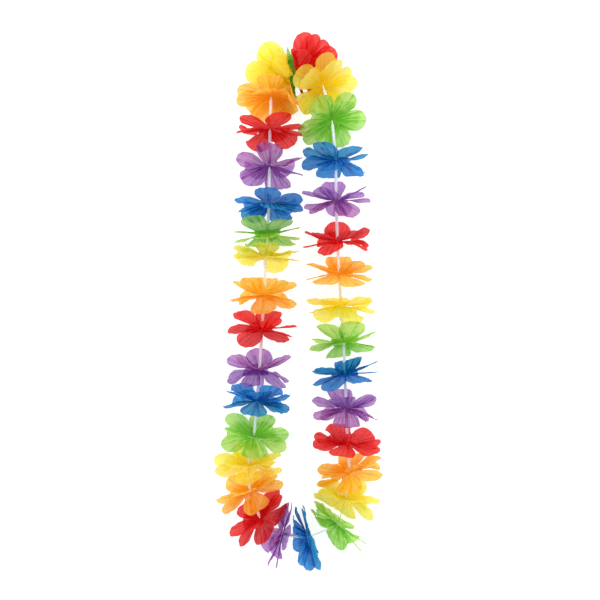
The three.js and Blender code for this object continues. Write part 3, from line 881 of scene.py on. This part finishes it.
@dataclass
class Bloom(Threaded):
    """One bloom: two die-cut fabric layers of five joined petals each."""

    index: int  # Its number
    cut: Cut = Cut()  # Shape of its petals
    pleating: Pleating = Pleating()  # How they are pleated
    columns: int = 30  # Cells across a petal, an even number
    middle_rows: int = 4  # Rows of points in the flat middle
    joined_rows: int = 3  # Rows of a petal that are cut in one with the petals beside it
    creases: float = 6.0  # Colour creases across a petal, partly painted shade, for each unit of its fan
    hole: tuple[float, float] = (0.9, 0.1)  # Largest radius of the cord's hole, and how far it clears the cord

    @property
    def name(self) -> str:
        """Give the name of the bloom's node in the frame."""
        return f"bloom_{self.index + 1:02d}_{BLOOMS[self.index].dye.value}"

    @cached_property
    def columns_at(self) -> np.ndarray:
        """Give each column's place across a petal, from -1 to 1."""
        return np.linspace(-1, 1, self.columns + 1)

    def patch(self, petal: int, points: np.ndarray, flat: tuple, fan: tuple) -> Patch:
        """Gather a grid of points with its places in the fabric.

        Args:
            petal: Number of the petal.
            points: The points.
            flat: Distances from the petal's middle line and the bloom's axis, in the flat.
            fan: Places across and along the fan of creases.

        Returns:
            The patch.
        """
        flat = (flat[0] + CLOTH_STEPS[0] * petal, flat[1] + CLOTH_STEPS[1] * self.index)
        fan = (fan[0], fan[1] + FAN_STEPS[1] * self.index)
        fibres, pleats = (np.stack(np.broadcast_arrays(*layer), axis=-1) for layer in (flat, fan))
        return Patch(points, fibres / CLOTH_UNIT, pleats)

    def petal_patch(self, petal: int) -> Patch:
        """Shape one petal.

        Args:
            petal: Number of the petal.

        Returns:
            The petal, from the ring round the middle to its tip.
        """
        line = PetalLine(self.loop, self.index, petal)
        steps = line.grow()
        phase = [pi * draw(self.index, petal, purpose) for purpose in PLEAT_DRAWS]
        cut, pleating, rows = self.cut, self.pleating, self.cut.rows()
        across = cut.half_width(rows)[:, None] * self.columns_at[None, :]
        spread = across / pleating.fan(cut)
        growth = np.clip(rows / cut.tip_at, 0, 1)[:, None]
        edge = pleating.edge(spread, phase) * np.clip(2 * growth - 1, 0, 1)
        along = np.clip(rows[:, None] + edge, 0, len(steps) - 1)

        held = np.stack([np.interp(along, np.arange(len(steps)), column) for column in steps.T], axis=-1)
        points, outward, side, raised = held[..., :3], held[..., 3:6], held[..., 6:9], held[..., 9]
        face = np.cross(outward, side)
        face /= np.linalg.norm(face, axis=-1, keepdims=True)
        cupping = np.abs(across) * np.abs(self.columns_at)[None, :] * np.sin(raised)
        reach = np.sqrt((across / cut.widest) ** 2 + growth**2)
        pleat, wave = pleating.heights(spread, reach, growth, phase)
        height = cupping + pleat + wave
        grid = points + side * (across * np.cos(raised))[..., None] + face * height[..., None]
        self.keep_inside(grid, line.room)
        grid[0] = self.ring(petal, np.array([MIDDLE_RADIUS]))[0]
        fan = (spread * self.creases + FAN_STEPS[0] * petal, FAN_LENGTH * growth)
        return self.patch(petal, grid, (across, rows[:, None] + MIDDLE_RADIUS), fan)

    @staticmethod
    def keep_inside(grid: np.ndarray, room: list[Wall]) -> None:
        """Push points back inside their room.

        Args:
            grid: Points, changed in place.
            room: The walls they stay inside of.
        """
        for _ in range(PUSH_ROUNDS):
            for wall in reversed(room):
                normal = np.array(wall.normal)
                thin = max(LEAST_CLEARANCE, wall.clear - THINNER_BY)
                clear = min(wall.clear, OVER_FLOOR) if wall is room[0] else thin
                depth = (grid - np.array(wall.point)) @ normal - clear
                grid += np.clip(-depth, 0, None)[..., None] * normal

    def ring(self, petal: int, radii: np.ndarray) -> np.ndarray:
        """Give the points of a layer's flat middle that one petal grows from.

        Args:
            petal: Number of the petal.
            radii: Distances from the bloom's axis.

        Returns:
            Points, as radii by columns by 3.
        """
        across_axis, near, axis = self.loop.axes(self.index)
        angles = np.radians(petal_turn(self.index, petal) + PETAL_STEP * self.columns_at)
        layer = layer_side(petal) * MIDDLE_HALF_THICKNESS / 2
        spoke = np.cos(angles)[:, None] * np.array(across_axis) + np.sin(angles)[:, None] * np.array(near)
        return np.array(self.loop.hub(self.index)) + np.array(axis) * layer + radii[:, None, None] * spoke[None]

    def middle_patch(self, petal: int) -> Patch:
        """Shape the part of a layer's middle that one petal grows from.

        Args:
            petal: Number of the petal.

        Returns:
            The patch from the cord's hole to the ring that petals leave.
        """
        slant = self.loop.slant(self.index, (self.index - 1, self.index))
        hole = min(self.hole[0], CORD_RADIUS / cos(slant)) + self.hole[1]
        radii = np.linspace(hole, MIDDLE_RADIUS, self.middle_rows)
        across = radii[:, None] * np.sin(np.radians(PETAL_STEP * self.columns_at))
        fan = (across / MIDDLE_FAN * self.creases, np.zeros(1))
        return self.patch(petal, self.ring(petal, radii), (across, radii[:, None]), fan)

    def joins(self, starts: list[int]) -> list[tuple[int, int, int, int]]:
        """Join the petals of each layer where they leave the middle, as the cut fabric is.

        Args:
            starts: Number of the first point of each petal.

        Returns:
            Faces between each petal's edge and the next petal's.
        """
        faces = []
        width = self.columns + 1
        for petal, start in enumerate(starts):
            beside = starts[(petal + 2) % PETALS]
            for row in range(self.joined_rows):
                mine, theirs = start + row * width + self.columns, beside + row * width
                faces.append((mine, theirs, theirs + width, mine + width))
        return faces

    def build(self) -> bpy.types.Object:
        """Make the bloom's fabric mesh.

        Returns:
            The piece, which stands for the bloom's node.
        """
        patches = [shape(petal) for petal in range(PETALS) for shape in (self.middle_patch, self.petal_patch)]
        faces: list[tuple[int, int, int, int]] = []
        starts = [0]
        for patch in patches:
            rows, columns = patch.points.shape[:2]
            at = starts[-1] + np.arange(rows * columns).reshape(rows, columns)
            quads = np.stack([at[:-1, :-1], at[:-1, 1:], at[1:, 1:], at[1:, :-1]], axis=-1)
            faces.extend(quads.reshape(-1, 4).tolist())
            starts.append(starts[-1] + rows * columns)
        faces.extend(self.joins(starts[1::2]))
        placed = np.concatenate([patch.points.reshape(-1, 3) for patch in patches])
        mesh = bpy.data.meshes.new(self.name + "_fabric")
        mesh.from_pydata(((placed + np.array(self.shift)) * METRES).tolist(), [], faces)
        corners = np.empty(len(mesh.loops), dtype=np.int32)
        mesh.loops.foreach_get("vertex_index", corners)
        for name in ("fibres", "pleats"):
            values = np.concatenate([getattr(patch, name).reshape(-1, 2) for patch in patches])
            mesh.uv_layers.new(name=name).data.foreach_set("uv", values[corners].ravel())
        work = bmesh.new()
        work.from_mesh(mesh)
        bmesh.ops.remove_doubles(work, verts=work.verts, dist=MERGE_WITHIN)
        for polygon in work.faces:
            polygon.smooth = True
        return self.piece(mesh.name, work, mesh)


@dataclass
class Tube(Threaded):
    """A short clear tube on the cord between two blooms."""

    index: int  # Number of the bloom before it
    sides: int = 36  # Facets round it
    lip: float = 0.1  # Rounding of its cut ends

    @property
    def node(self) -> str:
        """Give the name of the tube's node in the frame."""
        return f"tube_{self.index + 1:02d}_{(self.index + 1) % len(BLOOMS) + 1:02d}"

    def clearance(self, bloom: int) -> float:
        """Give how far along the cord the tube stays from a bloom's middle."""
        slant = self.loop.slant(bloom, (self.index,))
        return TUBE_RADIUS * tan(slant) + MIDDLE_HALF_THICKNESS / cos(slant) + RUNNING_GAP

    def ends(self) -> tuple[Vector, Vector]:
        """Give the tube's two ends.

        Returns:
            The middle of each, in the loop's own coordinates.
        """
        direction = self.loop.direction(self.index)
        start = self.loop.hub(self.index) + direction * self.clearance(self.index)
        end = self.loop.hub(self.index + 1) - direction * self.clearance((self.index + 1) % len(BLOOMS))
        return start, end

    def build(self) -> bpy.types.Object:
        """Make the tube's mesh.

        Returns:
            The piece, a hollow tube with rounded lips.
        """
        start, end = self.ends()
        length, lip = (end - start).length, self.lip
        inner, outer = TUBE_BORE_RADIUS, TUBE_RADIUS
        near_end = ((inner, lip), (inner + lip, 0.0), (outer - lip, 0.0), (outer, lip))
        far_end = [(radius, length - height) for radius, height in reversed(near_end)]
        spin = UP.rotation_difference(end - start)
        work = bmesh.new()
        rings = []
        for radius, height in (*near_end, *far_end):
            ring = []
            for side in range(self.sides):
                angle = 2 * pi * side / self.sides
                point = spin @ Vector((radius * cos(angle), radius * sin(angle), height))
                ring.append(self.corner(work, start + point))
            rings.append(ring)
        self.skin(work, rings, closed=True)
        bmesh.ops.recalc_face_normals(work, faces=work.faces)
        return self.piece(self.node + "_clear", work)


@dataclass
class Cord(Threaded):
    """The white cord through all blooms and tubes, with the knot that closes it."""

    strands: int = 3  # Strands twisted into it
    pitch: float = 4.5  # Length of one turn of the twist
    step: float = 0.75  # Distance between its rings
    sides: int = 12  # Points round a ring
    groove: float = 0.1  # Depth of the grooves between strands, as a share of the radius
    # Length of the knot's wraps, radius of their line, and radius of the cord in them
    knot: tuple[float, float, float] = (3.0, 0.85, 0.42)
    wraps: tuple[int, float] = (60, 18.0)  # Steps along them, and degrees from one to the next
    tail: float = 9.0  # Length of a cut tail
    tail_steps: int = 12  # Steps along a tail
    tail_radius: float = 0.47  # Radius of the cord in a tail
    tail_spread: float = 22.0  # Degrees between a tail and straight down

    def sweep(self, work: bmesh.types.BMesh, line: list[Vector], closed: bool, radius: float) -> None:
        """Sweep the twisted section along a line.

        Args:
            work: Mesh that the cord is added to.
            line: Points along the cord's middle, in millimetres.
            closed: Whether the line runs back to its start.
            radius: Radius of the cord.
        """
        count = len(line)
        rings = []
        travelled = 0.0
        for number, point in enumerate(line):
            before = line[(number - 1) % count] if closed or number else point
            after = line[(number + 1) % count] if closed or number < count - 1 else point
            tangent = (after - before).normalized()
            sideways = tangent.cross(UP)
            sideways = sideways.normalized() if sideways.length > LEAST_SIDE else Vector((1.0, 0.0, 0.0))
            rise = sideways.cross(tangent).normalized()
            if number:
                travelled += (point - line[number - 1]).length
            ring = []
            for side in range(self.sides):
                angle = 2 * pi * side / self.sides
                lobe = cos(self.strands * (angle - 2 * pi * travelled / self.pitch))
                reach = radius * (1 - self.groove * (1 - lobe) / 2)
                place = point + sideways * (reach * cos(angle)) + rise * (reach * sin(angle))
                ring.append(self.corner(work, place))
            rings.append(ring)
        self.skin(work, rings, closed)
        if not closed:
            work.faces.new(rings[0])
            work.faces.new(list(reversed(rings[-1])))

    def loop_line(self) -> list[Vector]:
        """Lay out the closed loop of cord.

        Returns:
            Closely spaced points along it.
        """
        line = []
        for index in range(len(BLOOMS)):
            start, end = self.loop.hub(index), self.loop.hub(index + 1)
            count = max(2, round((end - start).length / self.step))
            line.extend(start.lerp(end, part / count) for part in range(count))
        return line

    def knot_lines(self) -> list[list[Vector]]:
        """Lay out the knot.

        Returns:
            The line of its wraps and those of its two tails.
        """
        wall = self.loop.plane_after(KNOT_AFTER)
        direction = self.loop.direction(KNOT_AFTER)
        hanging = (-UP - wall.normal * (-UP).dot(wall.normal)).normalized()
        side = direction.cross(UP).normalized()
        rise = side.cross(direction)
        length, radius = self.knot[:2]
        steps, turn = self.wraps
        lines: list[list[Vector]] = [[]]
        for number in range(steps + 1):
            angle = radians(turn * number)
            along = -length / 2 + length * number / steps
            out = (side * cos(angle) + rise * sin(angle)) * radius
            lines[0].append(wall.point + direction * along + out)
        for sign in (-1, 1):
            slope = turned(hanging, wall.normal, radians(sign * self.tail_spread))
            parts = range(self.tail_steps + 1)
            lines.append([wall.point + slope * (self.tail * part / self.tail_steps) for part in parts])
        return lines

    def build(self) -> bpy.types.Object:
        """Make the cord's mesh.

        Returns:
            The piece, which stands for the cord's node.
        """
        work = bmesh.new()
        self.sweep(work, self.loop_line(), True, CORD_RADIUS)
        wraps, *tails = self.knot_lines()
        self.sweep(work, wraps, False, self.knot[2])
        for tail in tails:
            self.sweep(work, tail, False, self.tail_radius)
        bmesh.ops.recalc_face_normals(work, faces=work.faces)
        return self.piece("cord_and_knot", work)


@dataclass
class Studio:
    """The pale floor, soft lights and the camera over the lei."""

    shift: Vector  # What moves the loop's own coordinates into the frame, in millimetres
    view_width: float = 600.0  # Width of the view at the cord's height
    distance: float = 4000.0  # Height of the camera over the cord
    view_middle: tuple[float, float] = (1.5, 2.0)  # Loop coordinates of the middle of the view
    sensor: float = 36.0  # Width of the camera's sensor
    sees_to: float = 20.0  # How far the camera sees, in metres
    floor_size: float = 6000.0  # Side of the floor
    floor_glow: float = 0.8  # Light of the floor's own, as a light table has
    floor_tone: int = 170  # Grey of its surface, from 0 to 255
    floor_matt: tuple[float, float] = (0.9, 0.1)  # How matt it is, and how strongly it mirrors
    surroundings: float = 0.95  # Brightness of the white surroundings
    # Name, place, size and power of each light above, in metres and watts
    lamps: tuple[tuple[str, tuple[float, ...], float, float], ...] = (
        ("key", (0.9, 1.1, 2.2), 1.2, 34.0),
        ("fill", (-1.2, -0.4, 2.0), 2.0, 16.0),
    )

    def floor(self) -> None:
        """Make the pale surface that the lei lies on."""
        bpy.ops.mesh.primitive_grid_add(x_subdivisions=4, y_subdivisions=4, size=self.floor_size * METRES)
        ground = bpy.context.object
        ground.name = "pale_floor"
        paint = Shader.named("pale_floor")
        paint.surface({
            "Base Color": linear(self.floor_tone, self.floor_tone, self.floor_tone),
            "Roughness": self.floor_matt[0],
            "Specular IOR Level": self.floor_matt[1],
            "Emission Color": WHITE,
            "Emission Strength": self.floor_glow,
        })
        ground.data.materials.append(paint.material)

    def lights(self) -> None:
        """Make the soft white surroundings and the lights above, turned to the middle."""
        world = bpy.data.worlds.new("soft_white")
        world.use_nodes = True
        sky = world.node_tree.nodes["Background"]
        sky.inputs["Color"].default_value = WHITE
        sky.inputs["Strength"].default_value = self.surroundings
        bpy.context.scene.world = world
        for name, place, size, power in self.lamps:
            light = bpy.data.lights.new(name, "AREA")
            light.size = size
            light.energy = power
            lamp = put(name, light)
            lamp.location = place
            lamp.rotation_euler = Vector(place).to_track_quat("Z", "Y").to_euler()

    def camera(self) -> None:
        """Make the camera, which looks straight down with the loop's top at the top."""
        lens = bpy.data.cameras.new("camera")
        lens.sensor_width = self.sensor
        lens.lens = self.sensor * self.distance / self.view_width
        lens.clip_end = self.sees_to
        eye = put("camera", lens)
        eye.location = (Vector((*self.view_middle, CORD_HEIGHT + self.distance)) + self.shift) * METRES
        bpy.context.scene.camera = eye

    def build(self) -> None:
        """Set up the floor, the lights and the camera."""
        self.floor()
        self.lights()
        self.camera()
        bpy.context.scene.view_settings.view_transform = "Standard"


@dataclass
class Lei:
    """The whole lei: its blooms, tubes and cord."""

    loop: Loop = field(default_factory=Loop)  # The threaded loop
    gauge: int = 4  # Number of the bloom before the tube that shows where the frame has the loop

    @cached_property
    def shift(self) -> Vector:
        """Find what moves the loop's own coordinates into the frame.

        Returns:
            The shift in millimetres, read from one tube.
        """
        tube = Tube(self.loop, Vector(), self.gauge)
        start, end = tube.ends()
        low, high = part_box(tube.node)
        return (Vector(low) + Vector(high)) / (2 * METRES) - (start + end) / 2

    def dress(self, piece: bpy.types.Object, node: str, material: bpy.types.Material) -> None:
        """Give a piece its material and its place in the frame.

        Args:
            piece: The piece.
            node: The CAD node that it stands for.
            material: Its material.
        """
        piece.data.materials.append(material)
        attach(piece, BODY)
        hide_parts(node)
        LOG.info("%s stands for %s", piece.name, node)

    def build_blooms(self) -> None:
        """Make the thirty-three blooms."""
        materials = {finish.dye: finish.material() for finish in FABRICS}
        for index, place in enumerate(BLOOMS):
            bloom = Bloom(self.loop, self.shift, index)
            piece = bloom.build()
            self.dress(piece, bloom.name, materials[place.dye])
            bloom.cut.area()

    def build_tubes(self) -> None:
        """Make the clear tubes."""
        material = TubeFinish().material()
        for index in range(len(BLOOMS)):
            if index not in NO_TUBE_AFTER:
                tube = Tube(self.loop, self.shift, index)
                self.dress(tube.build(), tube.node, material)

    def build_cord(self) -> None:
        """Make the cord and its knot."""
        self.dress(Cord(self.loop, self.shift).build(), "cord_loop", CordFinish().material())


def main() -> None:
    """Build the lei and its studio, and log the loop's shift."""
    logging.basicConfig(level=logging.INFO, format="%(name)s: %(message)s")
    lei = Lei()
    LOG.info("loop shifted by %s mm", tuple(round(part, 3) for part in lei.shift))
    Studio(lei.shift).build()
    lei.build_blooms()
    lei.build_tubes()
    lei.build_cord()


if __name__ == "__main__":
    main()
